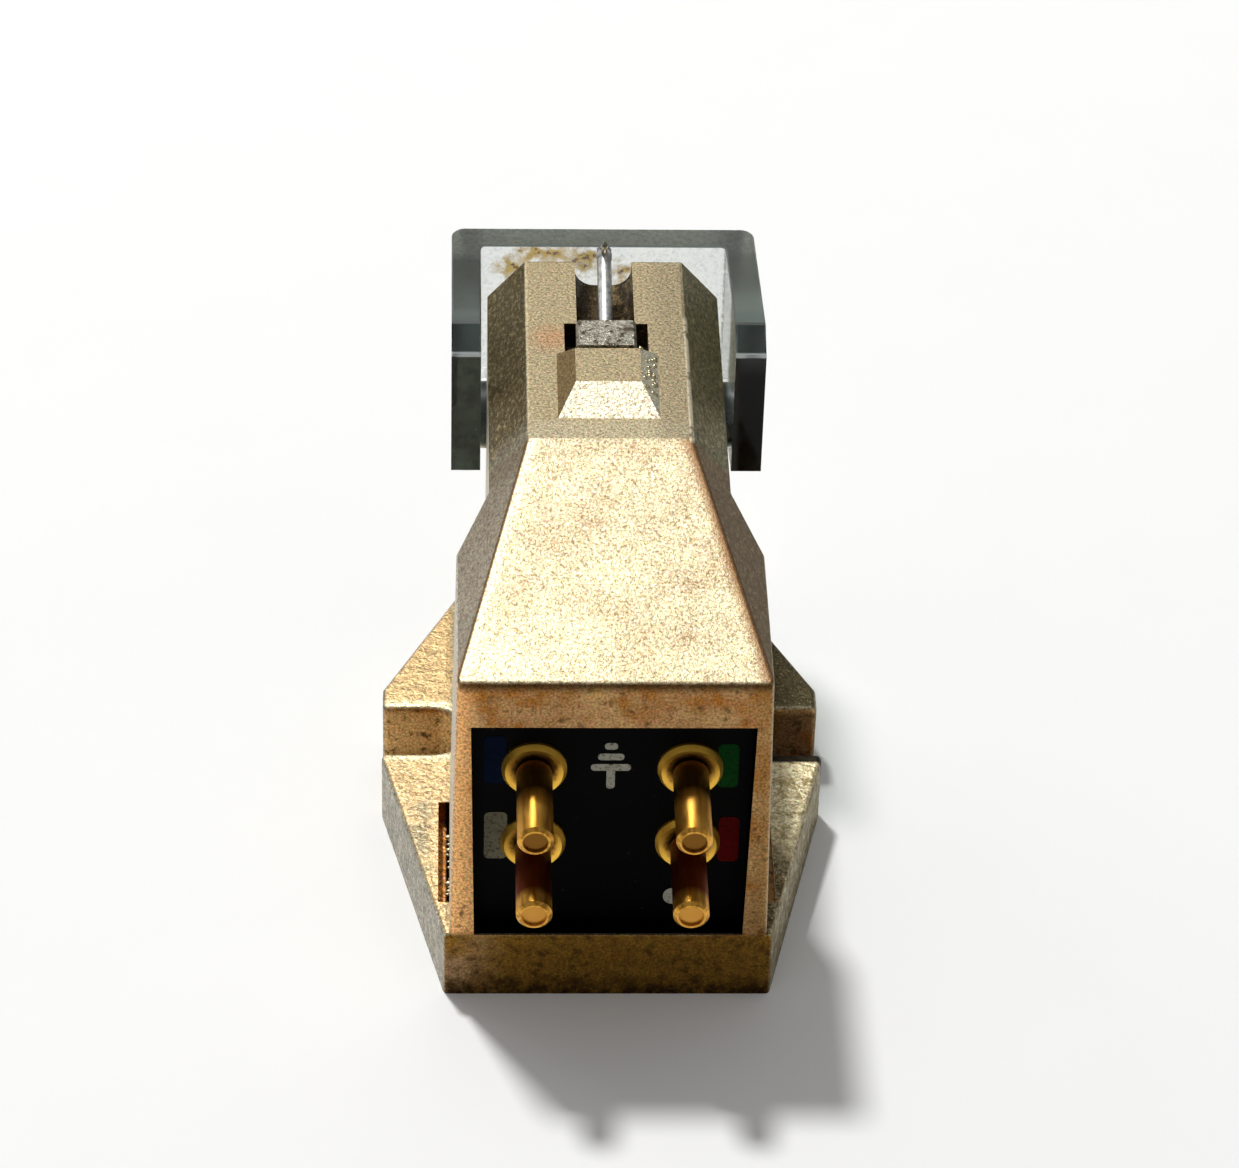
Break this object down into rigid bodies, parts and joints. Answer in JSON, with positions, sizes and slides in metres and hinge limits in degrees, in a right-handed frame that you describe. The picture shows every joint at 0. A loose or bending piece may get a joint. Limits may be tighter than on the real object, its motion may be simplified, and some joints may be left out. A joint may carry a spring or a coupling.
{
  "type": "phono cartridge",
  "caption": "Moving-coil phono cartridge with a faceted cast body, slotted mounting ears, terminal pins in a black rear panel, a bare cantilever in a grooved nose and a clip-on stylus guard.",
  "frame": {"origin": "on the flat mounting face, midway between the two mounting slots", "axes": "+Y from the terminal pins to the nose, +Z from the mounting face to the stylus, +X to the right as seen from the terminal pins with the stylus up"},
  "size_m": [0.0164, 0.0262, 0.0188],
  "materials": {
    "casting": "satin",
    "panel": "satin",
    "pin": "polished",
    "lead": "gloss",
    "yoke": "satin",
    "magnet": "satin",
    "screw": "satin",
    "wire": "polished",
    "damper": "matte",
    "armature": "satin",
    "coil": "satin",
    "cantilever": "satin",
    "diamond": "polished",
    "guard": "gloss"
  },
  "bodies": {
    "cartridge": {"body_housing": "casting", "pin_plate": "panel", "pin_left_signal": "pin", "pin_left_return": "pin", "pin_right_signal": "pin", "pin_right_return": "pin", "lead_left_signal": "lead", "lead_left_return": "lead", "lead_right_signal": "lead", "lead_right_return": "lead", "front_yoke": "yoke", "rear_yoke": "yoke", "magnet": "magnet", "pole_piece": "yoke", "set_screw": "screw", "suspension_wire": "wire"},
    "guard": {"stylus_guard": "guard"},
    "suspension": {"damper": "damper"},
    "stylus": {"armature": "armature", "coil_left": "coil", "coil_right": "coil", "cantilever": "cantilever", "stylus_tip": "diamond"}
  },
  "joints": [
    {"name": "guard_pull", "type": "slide", "parent": "cartridge", "child": "guard", "axis": [0, 1, 0], "range_m": [0, 0.006]},
    {"name": "stylus_lateral", "type": "hinge", "parent": "cartridge", "child": "suspension", "pos_m": [0, 0.0036, 0.01582], "axis": [0, 0, 1], "range_deg": [-1.5, 1.5], "stiffness_Nm_per_rad": 0.003},
    {"name": "stylus_vertical", "type": "hinge", "parent": "suspension", "child": "stylus", "pos_m": [0, 0.0036, 0.01582], "axis": [1, 0, 0], "range_deg": [-1.5, 1.5], "stiffness_Nm_per_rad": 0.003}
  ]
}
